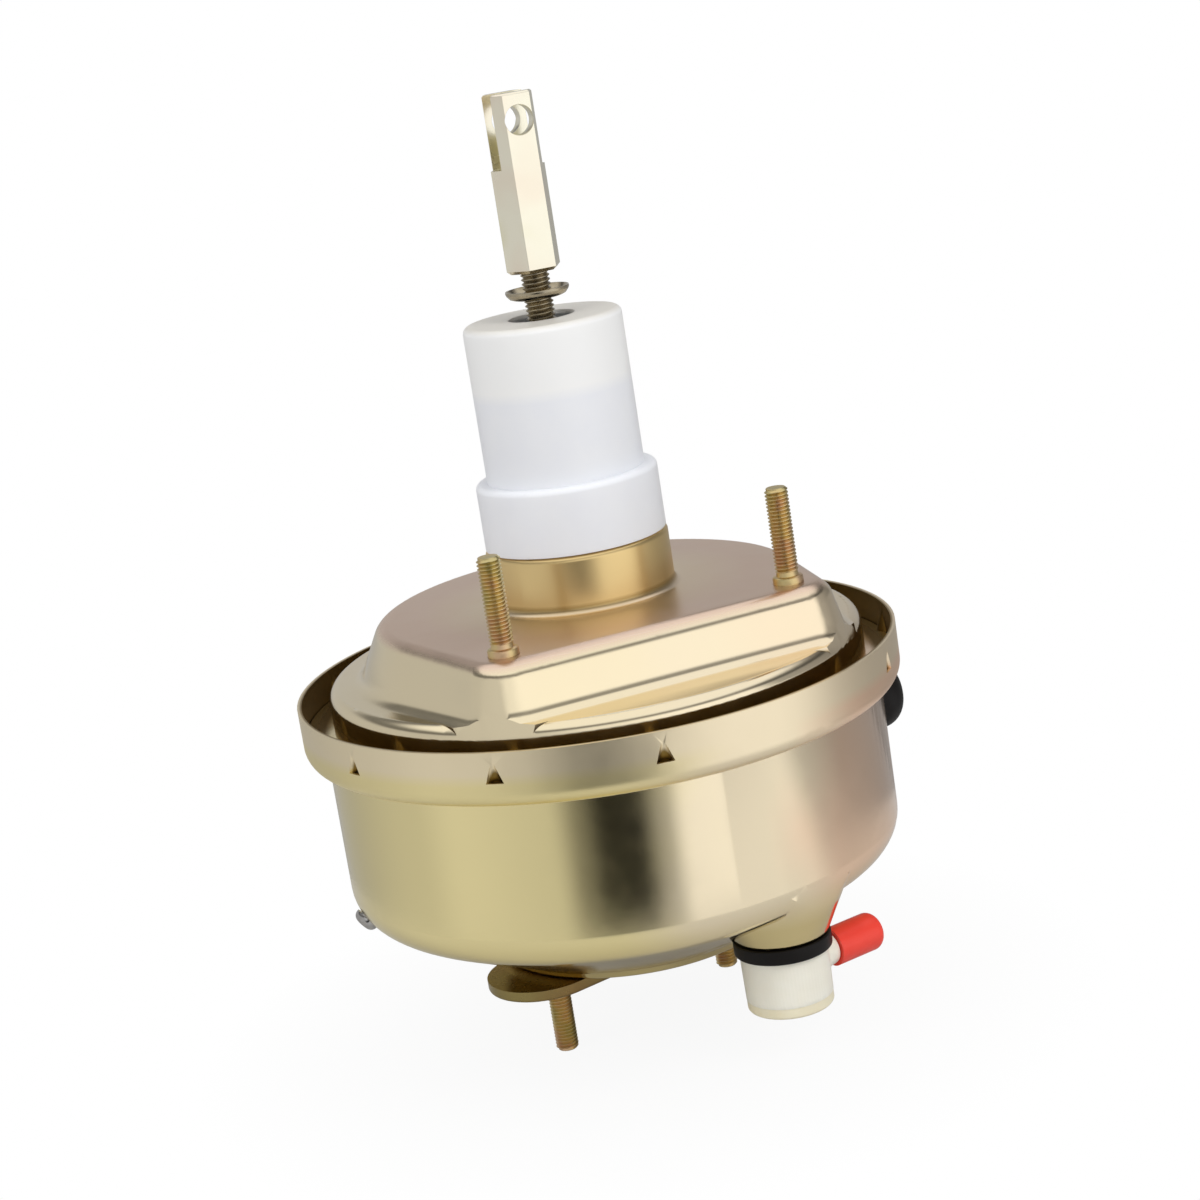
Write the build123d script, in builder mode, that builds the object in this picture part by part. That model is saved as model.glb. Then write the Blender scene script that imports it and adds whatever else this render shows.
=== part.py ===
from build123d import *
import math
import os

# Vacuum brake booster, as a service part with its transit caps fitted.
# Millimetres.  The origin is the centre of the rear mounting face, +Z runs along the push rod
# towards the pedal, and -Y is the side where the mounting plateau is cut flat.

# ---- driving dimensions: pressed shells ----
sheet = 1.5
plateau_r = 73.0
plateau_foot_r = 82.5
plateau_edge = 6.5
foot_fillet = 5.0
wall_slope = 0.231
tier_drop = 19.0
tier_edge = 4.5
stud_pad_r = 13.0
neck_height = 20.0
neck_foot = 2.5
spigot_top = 41.0
flange_top = -33.9
flange_gap = 0.4
rim_step = 7.5
rim_top = -23.5
rim_foot = -43.0
rim_corner = 6.0
body_r = 98.0
tier_r = body_r - 4.0
rim_r = body_r + rim_step
flange_r = rim_r - sheet - flange_gap
shoulder_corner = -98.4
shoulder_fillet = 13.0
nose_cone_z = -121.4
nose_z = -124.5
front_bore = 19.0

# ---- driving dimensions: joint between the shells ----
stake_angles = (-43.5, -13.5, 16.5, 46.5, 76.5, 106.5, 136.5, 166.5, 196.5, 228.5, 258.5)
stake_half_width = 3.2
stake_height = 8.0
stake_tip = 0.4
stake_proud = 0.8

# ---- driving dimensions: studs and front plate ----
stud_r = 4.0
front_shank_r = 4.6
stud_head_r = 7.0
stud_head = 3.0
stud_collar_r = 5.2
stud_collar = 2.5
stud_tip = 0.8
rear_stud_x = 52.0
rear_stud_y = -55.5
rear_stud_length = 33.0
front_stud_reach = 41.0
front_stud_end = -156.0
nose_margin = 2.0
nose_r = front_stud_reach + stud_head_r + nose_margin
nose_step = 2.0
nose_cone_r = nose_r + nose_step
plate_angle = 20.5
plate_thickness = 4.0
plate_end_r = 20.0
plate_end_step = 5.0
plate_end_reach = front_stud_reach + plate_end_step
plate_middle_r = 24.5
plate_edge = 1.2

# ---- driving dimensions: vacuum check valve ----
valve_angle = -70.9
valve_inset = 23.5
valve_reach = body_r - valve_inset
boss_foot = -114.5
boss_r = 16.0
boss_slope = 0.49
boss_height = 32.0
boss_edge = 2.5
boss_seat_r = 17.8
boss_flush = 0.15
grommet_r = 16.8
grommet_foot = -119.5
grommet_neck = 10.9
grommet_lip_r = 13.0
port_hole = 11.0
port_bore = 5.0
port_neck = 8.4
port_top = -107.0
check_body_r = 15.2
check_body_foot = -136.0
check_chamber_r = 12.2
check_seat = -121.5
check_cover_foot = -140.0
check_cover_r = 14.8
check_disc_r = 7.5
check_disc_thickness = 2.0
nipple_angle = 12.0
nipple_z = -126.6
nipple_root_r = 6.6
nipple_r = 4.2
nipple_bore = 3.0
nipple_length = 36.0
nipple_cap_r = 6.7
nipple_cap_start = 20.0
nipple_cap_end = 40.0

# ---- driving dimensions: shell fittings ----
plug_angle = -8.0
plug_z = -60.0
plug_r = 12.5
plug_height = 11.5
plug_neck = 8.0
plug_lip = 10.5
button_angle = 173.0
button_tilt = 38.0
button_r = 4.5
button_height = 3.0
button_shank = 2.9
button_edge = 2.6
button_depth = 5.0

# ---- driving dimensions: piston group ----
tube_r = 24.0
tube_edge = 0.8
tube_edge_share = 3
seal_width = 4.5
neck_bore = tube_r + seal_width
spigot_r = neck_bore + sheet
neck_step = 2.0
neck_r = spigot_r + neck_step
tube_top = 74.0
tube_bore = 20.0
hub_r = 34.0
hub_top = -12.0
hub_foot = -60.0
ratio_bore = 14.5
ratio_depth = 12.0
plunger_bore = 10.0
plunger_seat = -8.0
plunger_travel = 2.5
plate_sheet = 1.5
plate_flat_r = 52.0
plate_inset = 14.0
plate_edge_r = body_r - plate_inset
plate_edge_z = -30.0
plate_lip_z = -36.0
rubber_sheet = 1.3
bead_step = 0.8
roll_foot = -46.5
spring_mean_r = 27.0
spring_wire_r = 1.75
spring_turns = 5.0
chords_per_turn = 12

# ---- driving dimensions: rods and clevis ----
rod_r = 5.0
ball_r = 6.5
ball_z = -20.0
ball_neck_r = 4.0
ball_neck = 30.0
rod_top = 146.0
output_head = 4.0
output_end = -126.0
tip_end = -132.0
washer_r = 11.0
washer_gap = 5.8
washer_dish = 2.2
washer_sheet = 1.0
washer_rise = 1.2
clevis_flats = 17.0
clevis_foot = 113.0
washer_foot = clevis_foot - washer_gap - washer_dish - washer_sheet
clevis_top = 173.2
clevis_bore_end = 147.0
clevis_slot = 8.0
clevis_slot_foot = 148.2
clevis_hole_r = 5.1
clevis_hole_z = 164.0
clevis_foot_chamfer = 1.2
clevis_top_chamfer = 0.6

# ---- driving dimensions: transit cap ----
cap_collar_step = 0.4
cap_collar_r = neck_r - cap_collar_step
cap_tube_space = 2.0
cap_wall = 1.4
cap_tube_r = tube_r + cap_tube_space + cap_wall
cap_foot = 20.2
cap_shoulder = 43.2
cap_top = 97.5
cap_hole = 11.5
cap_edge = 2.5
collar_edge = 2.0

# ---- named clearances ----
running_gap = 0.05
press_gap = 0.1
free_gap = 0.4

valve_x = valve_reach * math.cos(math.radians(valve_angle))
valve_y = valve_reach * math.sin(math.radians(valve_angle))
VALVE_PLANE = Plane(origin=(valve_x, valve_y, 0), x_dir=(1, 0, 0), z_dir=(0, -1, 0))
VALVE_AXIS = Axis((valve_x, valve_y, 0), (0, 0, 1))
NIPPLE_PLANE = Plane(
    origin=(valve_x, valve_y, nipple_z),
    x_dir=(0, 0, 1),
    z_dir=(math.cos(math.radians(nipple_angle)), math.sin(math.radians(nipple_angle)), 0),
)
PLATE_PLANE = Plane(
    origin=(0, 0, 0),
    x_dir=(math.cos(math.radians(plate_angle)), math.sin(math.radians(plate_angle)), 0),
    z_dir=(0, 0, 1),
)

PLUG_PLANE = Plane(
    origin=(0, 0, plug_z),
    x_dir=(0, 0, 1),
    z_dir=(math.cos(math.radians(plug_angle)), math.sin(math.radians(plug_angle)), 0),
)
button_lean = math.radians(button_tilt)
button_spin = math.radians(button_angle)
button_seat_r = body_r - shoulder_fillet * (1 - math.cos(button_lean))
shoulder_slope = math.atan2(shoulder_corner - nose_cone_z, body_r - nose_cone_r)
shoulder_turn = math.pi / 2 - shoulder_slope
shoulder_start = shoulder_corner + shoulder_fillet * math.tan(shoulder_turn / 2)
BUTTON_PLANE = Plane(
    origin=(
        button_seat_r * math.cos(button_spin), button_seat_r * math.sin(button_spin),
        shoulder_start - shoulder_fillet * math.sin(button_lean),
    ),
    x_dir=(-math.sin(button_spin), math.cos(button_spin), 0),
    z_dir=(
        math.cos(button_lean) * math.cos(button_spin), math.cos(button_lean) * math.sin(button_spin),
        -math.sin(button_lean),
    ),
)


def turned(points, radii=None, plane=Plane.XZ, axis=Axis.Z):
    """A ring or disc turned from a closed half profile, its corners rounded by radii."""
    with BuildPart() as body:
        with BuildSketch(plane):
            with BuildLine():
                if radii:
                    rounded = FilletPolyline(*points, radius=radii)
                    Line(rounded @ 1, rounded @ 0)
                else:
                    Polyline(*points, close=True)
            make_face()
        revolve(axis=axis)
    return body


def ring(inner, outer, low, high, plane=Plane.XZ, axis=Axis.Z):
    """A plain ring between two radii and two heights."""
    return turned([(inner, low), (outer, low), (outer, high), (inner, high)], None, plane, axis)


def coil(mean_r, wire_r, low, high, turns):
    """A compression spring between two flat seats, its wire six-sided and its turns in chords."""
    rise = high - low - 2.2 * wire_r
    steps = round(turns * chords_per_turn)
    route = []
    for step in range(steps + 1):
        spin = 2 * math.pi * step / chords_per_turn
        height = low + 1.1 * wire_r + rise * step / steps
        route.append((mean_r * math.cos(spin), mean_r * math.sin(spin), height))
    with BuildPart() as spring:
        with BuildLine() as wire:
            Polyline(*route)
        with BuildSketch(Plane(origin=wire.line @ 0, z_dir=wire.line % 0)):
            RegularPolygon(radius=wire_r, side_count=6)
        sweep(path=wire.wires()[0], transition=Transition.RIGHT)
    return spring


# ---- rear shell: D-cut plateau on a round tier, neck and clamped flange ----
def plateau_outline(round_r, pad_r):
    """The round plateau drawn out tangentially over the two stud pads, flat between them."""
    with BuildSketch() as outline:
        with BuildLine():
            CenterArc((0, 0), round_r, -30, 240)
            CenterArc((-rear_stud_x, rear_stud_y), pad_r, 0, 360)
            CenterArc((rear_stud_x, rear_stud_y), pad_r, 0, 360)
        make_hull()
    return outline.sketch


def rear_form(inset):
    """The rear pressing as a solid block, its skin moved inwards by inset."""
    top = -inset
    tier = -tier_drop - inset
    foot = foot_fillet + inset
    drop = tier_drop - foot_fillet
    round_run = (plateau_foot_r - plateau_r) * drop / tier_drop
    steps = [(top, 0, 0)]
    for turn in (0, 30, 60, 90):
        rise = foot * (1 - math.sin(math.radians(turn)))
        run = foot * (1 - math.cos(math.radians(turn)))
        steps.append((tier + rise, round_run + run, wall_slope * drop + run))
    steps.append((tier - tier_edge, round_run + foot, wall_slope * drop + foot))
    with BuildPart() as boss:
        for height, round_grow, pad_grow in steps:
            with BuildSketch(Plane.XY.offset(height)):
                add(plateau_outline(plateau_r - inset + round_grow, stud_pad_r - inset + pad_grow))
        loft(ruled=True)
        fillet(boss.faces().sort_by(Axis.Z)[-1].edges(), plateau_edge - 0.7 * inset)
    reach = math.hypot(rear_stud_x, rear_stud_y) + stud_pad_r - inset
    edge = tier_edge - 0.7 * inset
    envelope = turned([
        (0, top), (reach, top), (tier_r - inset, tier - edge), (tier_r - inset, tier - edge - 1),
        (0, tier - edge - 1),
    ])
    with BuildPart() as form:
        add(boss)
        add(envelope, mode=Mode.INTERSECT)
        with BuildSketch(Plane.XZ):
            with BuildLine():
                wall = FilletPolyline(
                    (0, tier), (tier_r - inset, tier), (tier_r - inset, flange_top - sheet), radius=edge
                )
                Polyline(wall @ 1, (0, flange_top - sheet), wall @ 0)
            make_face()
        revolve(axis=Axis.Z)
    return form


rear_outer = rear_form(0)
rear_inner = rear_form(sheet)

with BuildPart() as rear_shell:
    add(rear_outer)
    # flange that the front shell's rim clamps
    with BuildSketch(Plane.XY.offset(flange_top - sheet)):
        Circle(flange_r)
    extrude(amount=sheet)
    add(rear_inner, mode=Mode.SUBTRACT)
    # drawn neck with the thinner spigot that the transit cap slides over
    with BuildSketch(Plane.XZ):
        with BuildLine():
            flare = RadiusArc((neck_r + neck_foot, 0), (neck_r, neck_foot), neck_foot)
            Line(flare @ 1, (neck_r, neck_height - 2))
            shoulder = RadiusArc((neck_r, neck_height - 2), (neck_r - 2, neck_height), -2)
            Polyline(
                shoulder @ 1, (spigot_r, spigot_top), (neck_bore, spigot_top), (neck_bore, -sheet),
                (neck_r + neck_foot, -sheet), flare @ 0,
            )
        make_face()
    revolve(axis=Axis.Z)
    with BuildSketch(Plane.XY.offset(-2 * sheet)):
        Circle(neck_bore)
    extrude(amount=spigot_top, mode=Mode.SUBTRACT)
    with BuildSketch(Plane.XY.offset(-2 * sheet)):
        with Locations((-rear_stud_x, rear_stud_y), (rear_stud_x, rear_stud_y)):
            Circle(stud_collar_r + press_gap)
    extrude(amount=3 * sheet, mode=Mode.SUBTRACT)
rear_shell.part.label = "rear_shell"


# ---- front shell: rim channel, deep body, coned nose and check-valve boss ----
def front_form(inset):
    """The front pressing as a solid block, its skin moved inwards by inset."""
    points = [
        (rim_r, rim_top), (rim_r, rim_foot), (body_r, rim_foot), (body_r, shoulder_corner),
        (nose_cone_r, nose_cone_z), (nose_r, nose_z), (0, nose_z),
    ]
    radii = [rim_corner, 1.0, shoulder_fillet, 2.0, 2.5]
    with BuildPart() as form:
        with BuildSketch(Plane.XZ):
            with BuildLine(mode=Mode.PRIVATE) as skin:
                FilletPolyline(*points, radius=radii)
            wall = skin.wire()
            if inset:
                wall = wall.offset_2d(inset, side=Side.RIGHT, closed=False)
            with BuildLine():
                add(wall)
                Polyline(wall @ 1, (0, rim_top), wall @ 0)
            make_face()
        revolve(axis=Axis.Z)
    boss_top_r = boss_r + boss_slope * boss_height - inset
    boss = turned(
        [(0, boss_foot + inset), (boss_r - inset, boss_foot + inset),
         (boss_top_r, boss_foot + boss_height), (0, boss_foot + boss_height)],
        [boss_edge - 0.6 * inset, 1.0], VALVE_PLANE, VALVE_AXIS,
    )
    with BuildPart() as clipped:
        add(boss)
        with BuildSketch(Plane.XY.offset(boss_foot)):
            Circle(body_r - boss_flush - inset)
        extrude(amount=boss_height, mode=Mode.INTERSECT)
    with BuildPart() as whole:
        add(form)
        add(clipped)
        # flat seat of the grommet, sunk into the cone where the cone runs lower than the boss
        with BuildSketch(Plane.XY.offset(boss_foot + inset)):
            with Locations((valve_x, valve_y)):
                Circle(boss_seat_r + inset)
        extrude(amount=nose_z - boss_foot, mode=Mode.SUBTRACT)
    return whole


front_outer = front_form(0)
front_inner = front_form(sheet)

STANDING = (Align.CENTER, Align.CENTER, Align.MIN)
stake_reach = rim_r + stake_proud
stake_places = [
    (stake_reach * math.cos(math.radians(a)), stake_reach * math.sin(math.radians(a)), flange_top)
    for a in stake_angles
]
with BuildPart() as stake_bulges:
    with Locations(*stake_places):
        Cone(stake_half_width + sheet, stake_tip + sheet, stake_height, align=STANDING)
    with BuildSketch(Plane.XY.offset(flange_top)):
        Circle(rim_r - sheet / 2)
    extrude(amount=stake_height, mode=Mode.INTERSECT)

with BuildPart() as front_shell:
    add(front_outer)
    add(front_inner, mode=Mode.SUBTRACT)
    # bore for the master cylinder's spigot, and the holes of the two front studs
    with BuildSketch(PLATE_PLANE.offset(nose_z - sheet)):
        Circle(front_bore)
        with Locations((-front_stud_reach, 0), (front_stud_reach, 0)):
            Circle(front_shank_r + press_gap)
    extrude(amount=4 * sheet, mode=Mode.SUBTRACT)
    # hole of the check valve's grommet
    with BuildSketch(Plane.XY.offset(boss_foot - sheet)):
        with Locations((valve_x, valve_y)):
            Circle(port_hole)
    extrude(amount=4 * sheet, mode=Mode.SUBTRACT)
    # holes of the side plug and of the shoulder button, along their own axes
    with BuildSketch(PLUG_PLANE.offset(body_r - 8)):
        Circle(plug_neck)
    extrude(amount=16, mode=Mode.SUBTRACT)
    with BuildSketch(BUTTON_PLANE.offset(-8)):
        Circle(button_shank + press_gap)
    extrude(amount=16, mode=Mode.SUBTRACT)
    # stakes: the wall is sheared above the flange and pushed in as a half cone
    add(stake_bulges)
    with Locations(*stake_places):
        Cone(stake_half_width, stake_tip, stake_height, align=STANDING, mode=Mode.SUBTRACT)
front_shell.part.label = "front_shell"

# ---- plate that spreads the master cylinder's load over the nose ----
with BuildPart() as master_cylinder_plate:
    with BuildSketch(PLATE_PLANE.offset(nose_z - plate_thickness)):
        Circle(plate_middle_r)
        with Locations((-plate_end_reach, 0), (plate_end_reach, 0)):
            Circle(plate_end_r)
        make_hull()
        Circle(front_bore, mode=Mode.SUBTRACT)
        with Locations((-front_stud_reach, 0), (front_stud_reach, 0)):
            Circle(front_shank_r + press_gap, mode=Mode.SUBTRACT)
    extrude(amount=plate_thickness)
    outer_rim = master_cylinder_plate.faces().sort_by(Axis.Z)[0].outer_wire().edges()
    fillet(outer_rim, plate_edge)
master_cylinder_plate.part.label = "master_cylinder_plate"

# ---- studs ----
with BuildPart() as front_studs:
    with BuildSketch(PLATE_PLANE.offset(nose_z + sheet)):
        with Locations((-front_stud_reach, 0), (front_stud_reach, 0)):
            Circle(stud_head_r)
    extrude(amount=stud_head)
    with BuildSketch(PLATE_PLANE.offset(nose_z - plate_thickness)):
        with Locations((-front_stud_reach, 0), (front_stud_reach, 0)):
            Circle(front_shank_r)
    extrude(amount=plate_thickness + sheet)
    with BuildSketch(PLATE_PLANE.offset(nose_z + sheet)):
        with Locations((-front_stud_reach, 0), (front_stud_reach, 0)):
            Circle(stud_r)
    extrude(amount=front_stud_end - nose_z - sheet)
    chamfer(front_studs.edges().group_by(Axis.Z)[0], stud_tip)
front_studs.part.label = "front_studs"

with BuildPart() as rear_studs:
    with BuildSketch(Plane.XY.offset(-sheet)):
        with Locations((-rear_stud_x, rear_stud_y), (rear_stud_x, rear_stud_y)):
            Circle(stud_head_r)
    extrude(amount=-stud_head)
    with BuildSketch(Plane.XY.offset(-sheet)):
        with Locations((-rear_stud_x, rear_stud_y), (rear_stud_x, rear_stud_y)):
            Circle(stud_collar_r)
    extrude(amount=sheet + stud_collar)
    with BuildSketch(Plane.XY.offset(-sheet)):
        with Locations((-rear_stud_x, rear_stud_y), (rear_stud_x, rear_stud_y)):
            Circle(stud_r)
    extrude(amount=rear_stud_length + sheet)
    chamfer(rear_studs.edges().group_by(Axis.Z)[-1], stud_tip)
rear_studs.part.label = "rear_studs"

# ---- seals of the housing ----
seal_foot = 24.0
seal_top = 34.0
seal_lip = 3.0
seal_relief_r = tube_r + 2.0
rear_seal = turned([
    (tube_r + running_gap, seal_foot), (neck_bore - running_gap, seal_foot),
    (neck_bore - running_gap, seal_top), (seal_relief_r, seal_top),
    (seal_relief_r, seal_foot + seal_lip), (tube_r + running_gap, seal_foot + seal_lip),
])
rear_seal.part.label = "rear_seal"

bearing_top = 40.0
bearing_gap = 0.3
seal_bearing_ring = ring(tube_r + bearing_gap, neck_bore - running_gap, seal_top, bearing_top)
seal_bearing_ring.part.label = "seal_bearing_ring"

rod_seal_height = 6.0
rod_seal_lip = 2.0
rod_seal_step = 4.0
rod_seal_top = nose_z + sheet + rod_seal_height
output_rod_seal = turned([
    (rod_r + running_gap, nose_z + sheet + rod_seal_lip), (front_bore - 1, nose_z + sheet + rod_seal_lip),
    (front_bore - 1, nose_z + sheet), (front_bore + 3, nose_z + sheet), (front_bore + 3, rod_seal_top),
    (rod_r + rod_seal_step, rod_seal_top), (rod_r + rod_seal_step, rod_seal_top - rod_seal_lip),
    (rod_r + running_gap, rod_seal_top - rod_seal_lip),
])
output_rod_seal.part.label = "output_rod_seal"

# ---- check valve: grommet, body with nipple, disc, spring and cover ----
grommet_lip_height = 3.0
grommet_lip_top = boss_foot + sheet + grommet_lip_height
check_valve_grommet = turned([
    (port_neck + running_gap, grommet_foot), (grommet_r, grommet_foot), (grommet_r, boss_foot),
    (grommet_neck, boss_foot), (grommet_neck, boss_foot + sheet), (grommet_lip_r, boss_foot + sheet),
    (grommet_neck, grommet_lip_top), (port_neck + running_gap, grommet_lip_top),
], None, VALVE_PLANE, VALVE_AXIS)
check_valve_grommet.part.label = "check_valve_grommet"

with BuildPart() as check_valve_body:
    # moulded cup around the disc chamber, with the neck that the grommet holds
    with BuildSketch(VALVE_PLANE):
        with BuildLine():
            Polyline(
                (port_bore, port_top), (port_neck, port_top), (port_neck, grommet_foot),
                (check_body_r, grommet_foot), (check_body_r - 0.3, check_body_foot),
                (check_chamber_r, check_body_foot), (check_chamber_r, check_seat),
                (port_bore, check_seat), close=True,
            )
        make_face()
    revolve(axis=VALVE_AXIS)
    # nipple: a coned root running out into the hose tube
    with BuildSketch(NIPPLE_PLANE.offset(check_chamber_r + 1)):
        Circle(nipple_root_r)
    with BuildSketch(NIPPLE_PLANE.offset(nipple_cap_start - 0.5)):
        Circle(nipple_r + 1.2)
    loft()
    with BuildSketch(NIPPLE_PLANE.offset(check_chamber_r + 1)):
        Circle(nipple_r)
    extrude(amount=nipple_length - check_chamber_r - 1)
    with BuildSketch(NIPPLE_PLANE.offset(check_chamber_r - 1)):
        Circle(nipple_bore)
    extrude(amount=nipple_length, mode=Mode.SUBTRACT)
check_valve_body.part.label = "check_valve_body"

cover_spigot_top = check_body_foot + 2.0
with BuildPart() as check_valve_cover:
    with BuildSketch(VALVE_PLANE):
        with BuildLine():
            Polyline(
                (0, check_cover_foot), (check_cover_r, check_cover_foot),
                (check_cover_r, check_body_foot), (check_chamber_r - press_gap, check_body_foot),
                (check_chamber_r - press_gap, cover_spigot_top), (0, cover_spigot_top), close=True,
            )
        make_face()
    revolve(axis=VALVE_AXIS)
    fillet(check_valve_cover.edges().group_by(Axis.Z)[0], 1.2)
check_valve_cover.part.label = "check_valve_cover"

disc_foot = check_seat - check_disc_thickness
check_valve_disc = turned([
    (0, check_seat), (check_disc_r, check_seat), (check_disc_r, disc_foot), (0, disc_foot),
], None, VALVE_PLANE, VALVE_AXIS)
check_valve_disc.part.label = "check_valve_disc"

check_valve_spring = coil(5.0, 0.4, cover_spigot_top, disc_foot, 4.0)
check_valve_spring.part.locate(Location((valve_x, valve_y, 0)))
check_valve_spring.part.label = "check_valve_spring"

with BuildPart() as nipple_cap:
    with BuildSketch(NIPPLE_PLANE.offset(nipple_cap_start)):
        Circle(nipple_cap_r)
    extrude(amount=nipple_cap_end - nipple_cap_start)
    fillet(nipple_cap.faces().sort_by(Axis.X)[-1].edges(), 3.5)
    with BuildSketch(NIPPLE_PLANE.offset(nipple_cap_start)):
        Circle(nipple_r + free_gap / 2)
    extrude(amount=nipple_length - nipple_cap_start + 1, mode=Mode.SUBTRACT)
nipple_cap.part.label = "nipple_cap"

# ---- side plug and shoulder button ----
with BuildPart() as side_plug:
    with BuildSketch(PLUG_PLANE.offset(body_r - 5)):
        Circle(plug_r)
    extrude(amount=plug_height + 5)
    fillet(side_plug.faces().sort_by(Axis.X)[-1].edges(), 9.0)
    # saddle that beds the head on the wall
    with BuildSketch(Plane.XY.offset(plug_z - 2 * plug_r)):
        Circle(body_r + 0.05)
    extrude(amount=4 * plug_r, mode=Mode.SUBTRACT)
    with BuildSketch(PLUG_PLANE.offset(body_r - 6)):
        Circle(plug_neck - press_gap)
    extrude(amount=10)
    with BuildSketch(PLUG_PLANE.offset(body_r - 6)):
        Circle(plug_lip)
    extrude(amount=-2.5)
    with BuildSketch(PLUG_PLANE.offset(body_r - 6)):
        Circle(plug_neck - press_gap)
    extrude(amount=-2.5)
side_plug.part.label = "side_plug"

with BuildPart() as shoulder_button:
    with BuildSketch(BUTTON_PLANE):
        Circle(button_r)
    extrude(amount=button_height)
    fillet(shoulder_button.faces().sort_by(Axis.Z)[0].edges(), button_edge)
    with BuildSketch(BUTTON_PLANE):
        Circle(button_shank)
    extrude(amount=-button_depth)
shoulder_button.part.label = "shoulder_button"

# ---- piston group: valve body, pressed plate, diaphragm ----
ratio_top = hub_foot + ratio_depth
key_foot = -30.0
key_top = -27.0
key_width = 12.0
key_side_gap = 0.2
passage_r = 2.6
passages = 3
with BuildPart() as valve_body:
    with BuildSketch(Plane.XZ):
        with BuildLine():
            Polyline(
                (tube_bore, tube_top), (tube_r, tube_top), (tube_r, hub_top), (hub_r, hub_top),
                (hub_r, hub_foot), (ratio_bore, hub_foot), (ratio_bore, ratio_top),
                (plunger_bore, ratio_top), (plunger_bore, plunger_seat), (tube_bore, plunger_seat),
                close=True,
            )
        make_face()
    revolve(axis=Axis.Z)
    chamfer(valve_body.edges().group_by(Axis.Z)[-1], min(tube_edge, (tube_r - tube_bore) / tube_edge_share))
    # slot of the retaining key
    with BuildSketch(Plane.XY.offset(key_foot - running_gap)):
        with Locations((hub_r / 2, 0)):
            Rectangle(hub_r + 2, key_width + 2 * key_side_gap)
    extrude(amount=key_top - key_foot + 2 * running_gap, mode=Mode.SUBTRACT)
    # vacuum passages along the hub
    with BuildSketch(Plane.XY.offset(hub_foot)):
        with PolarLocations((ratio_bore + tube_r) / 2, passages, start_angle=60, angular_range=360):
            Circle(passage_r)
    extrude(amount=hub_top - hub_foot - 6, mode=Mode.SUBTRACT)
valve_body.part.label = "valve_body"

plate_top = hub_top + plate_sheet
with BuildPart() as diaphragm_plate:
    with BuildSketch(Plane.XZ):
        with BuildLine():
            face = FilletPolyline(
                (tube_r + press_gap, plate_top), (plate_flat_r, plate_top),
                (plate_edge_r, plate_edge_z), (plate_edge_r, plate_lip_z), radius=[12.0, 6.0],
            )
            offset(face, amount=plate_sheet, side=Side.RIGHT)
        make_face()
    revolve(axis=Axis.Z)
diaphragm_plate.part.label = "diaphragm_plate"

rubber_top = plate_top
rubber_bend_r = plate_flat_r + 1.2
rubber_edge_r = plate_edge_r + 2.0
plate_fall = (plate_top - plate_edge_z) / (plate_edge_r - plate_flat_r)
rubber_edge_z = rubber_top + rubber_sheet - plate_fall * (rubber_edge_r - rubber_bend_r)
bead_inner = body_r + bead_step
roll_out_r = bead_inner - 3.8
bead_mid = flange_top - sheet - 4.2
bead_outer = flange_r - press_gap
bead_corner = 3.6
bead_foot = rim_foot + sheet + press_gap
with BuildPart() as diaphragm:
    with BuildSketch(Plane.XZ):
        with BuildLine():
            skin = FilletPolyline(
                (tube_r + press_gap, rubber_top + rubber_sheet), (rubber_bend_r, rubber_top + rubber_sheet),
                (rubber_edge_r, rubber_edge_z), (rubber_edge_r, roll_foot), (roll_out_r, roll_foot),
                (roll_out_r, bead_mid), (bead_inner + 1, bead_mid), radius=[12.0, 6.0, 4.0, 4.0, 1.5],
            )
            offset(skin, amount=rubber_sheet, side=Side.RIGHT)
        make_face()
    revolve(axis=Axis.Z)
    # bead, rounded to the corner of the rim's channel
    with BuildSketch(Plane.XZ):
        with BuildLine():
            bead = FilletPolyline(
                (bead_inner, bead_foot), (bead_outer, bead_foot), (bead_outer, flange_top - sheet),
                radius=bead_corner,
            )
            Polyline(bead @ 1, (bead_inner, flange_top - sheet), bead @ 0)
        make_face()
    revolve(axis=Axis.Z)
diaphragm.part.label = "diaphragm"

retainer_foot = rubber_top + rubber_sheet
retainer_width = 7.0
diaphragm_retainer = ring(
    tube_r + press_gap, tube_r + retainer_width, retainer_foot, retainer_foot + plate_sheet
)
diaphragm_retainer.part.label = "diaphragm_retainer"

reaction_height = 6.0
reaction_foot = ratio_top - reaction_height
with BuildPart() as reaction_disc:
    with BuildSketch(Plane.XY.offset(reaction_foot)):
        Circle(ratio_bore - press_gap)
    extrude(amount=ratio_top - reaction_foot)
reaction_disc.part.label = "reaction_disc"

tip_shank_r = 3.0
tip_depth = 12.0
tip_r = rod_r - 0.3
tip_edge = 2.5
with BuildPart() as output_rod:
    with BuildSketch(Plane.XY.offset(reaction_foot)):
        Circle(ratio_bore - press_gap)
    extrude(amount=-output_head)
    with BuildSketch(Plane.XY.offset(reaction_foot - output_head)):
        Circle(rod_r)
    extrude(amount=output_end - reaction_foot + output_head)
    with BuildSketch(Plane.XY.offset(output_end)):
        Circle(tip_shank_r + running_gap)
    extrude(amount=tip_depth, mode=Mode.SUBTRACT)
output_rod.part.label = "output_rod"

with BuildPart() as output_rod_tip:
    with BuildSketch(Plane.XY.offset(output_end)):
        Circle(tip_r)
    extrude(amount=tip_end - output_end)
    fillet(output_rod_tip.faces().sort_by(Axis.Z)[0].edges(), tip_edge)
    with BuildSketch(Plane.XY.offset(output_end)):
        Circle(tip_shank_r)
    extrude(amount=tip_depth - 1)
output_rod_tip.part.label = "output_rod_tip"

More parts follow.
